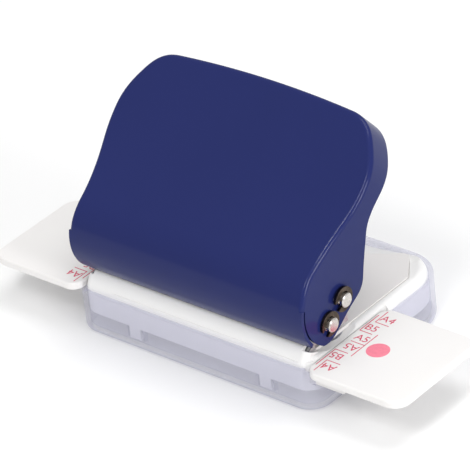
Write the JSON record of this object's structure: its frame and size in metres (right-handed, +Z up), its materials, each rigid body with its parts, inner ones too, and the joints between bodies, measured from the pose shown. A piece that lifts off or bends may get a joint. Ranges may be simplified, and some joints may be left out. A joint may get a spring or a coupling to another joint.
{
  "type": "hole punch",
  "caption": "Desk hole punch with a pressed handle, spring-return cutters, sliding paper gauges and a clip-on chip tray.",
  "frame": {"origin": "on the surface it stands on, under the midpoint between the punched holes", "axes": "+X along the handle, +Y towards the side where the paper goes in, +Z up"},
  "size_m": [0.1762, 0.0773, 0.0867],
  "materials": {
    "tray": "translucent, smooth",
    "frame": "smooth white",
    "plate": "light grey-white paint",
    "fixings": "plated",
    "handle": "glossy navy enamel",
    "rods": "bright ground",
    "clips": "blackened",
    "bracket": "zinc plated",
    "cutting": "ground",
    "spring": "drawn wire",
    "gauge": "smooth white"
  },
  "bodies": {
    "base": {"base_frame": "frame", "table_plate": "plate", "plate_screws": "fixings", "fulcrum_rod": "rods", "fulcrum_clips": "clips", "punch_bracket_left": "bracket", "bracket_rivets_left": "fixings", "die_left": "cutting", "return_spring_left": "spring", "punch_bracket_right": "bracket", "bracket_rivets_right": "fixings", "die_right": "cutting", "return_spring_right": "spring"},
    "tray": {"chip_tray": "tray"},
    "handle": {"handle_shell": "handle", "drive_rod": "rods", "drive_clips": "clips"},
    "punch_left": {"cutter_left": "cutting", "cutter_clip_left": "clips"},
    "gauge_left": {"gauge_left": "gauge"},
    "punch_right": {"cutter_right": "cutting", "cutter_clip_right": "clips"},
    "gauge_right": {"gauge_right": "gauge"}
  },
  "joints": [
    {"name": "handle_press", "type": "hinge", "parent": "base", "child": "handle", "pos_m": [0, -0.0081, 0.0286], "axis": [-1, 0, 0], "range_deg": [0, 26], "stiffness_Nm_per_rad": 1.5, "springref_deg": -17.19},
    {"name": "tray_pull", "type": "slide", "parent": "base", "child": "tray", "axis": [0, 0, -1], "range_m": [0, 0.02]},
    {"name": "punch_left_stroke", "type": "slide", "parent": "base", "child": "punch_left", "axis": [0, 0, -1], "range_m": [0, 0.004], "deforming": ["return_spring_left"]},
    {"name": "gauge_left_slide", "type": "slide", "parent": "base", "child": "gauge_left", "axis": [-1, 0, 0], "range_m": [0, 0.0604]},
    {"name": "punch_right_stroke", "type": "slide", "parent": "base", "child": "punch_right", "axis": [0, 0, -1], "range_m": [0, 0.004], "deforming": ["return_spring_right"]},
    {"name": "gauge_right_slide", "type": "slide", "parent": "base", "child": "gauge_right", "axis": [1, 0, 0], "range_m": [0, 0.0604]}
  ],
  "couplings": [
    {"joint": "punch_left_stroke", "follows": "handle_press", "m_per_rad": 0.008625},
    {"joint": "punch_right_stroke", "follows": "handle_press", "m_per_rad": 0.008625}
  ]
}
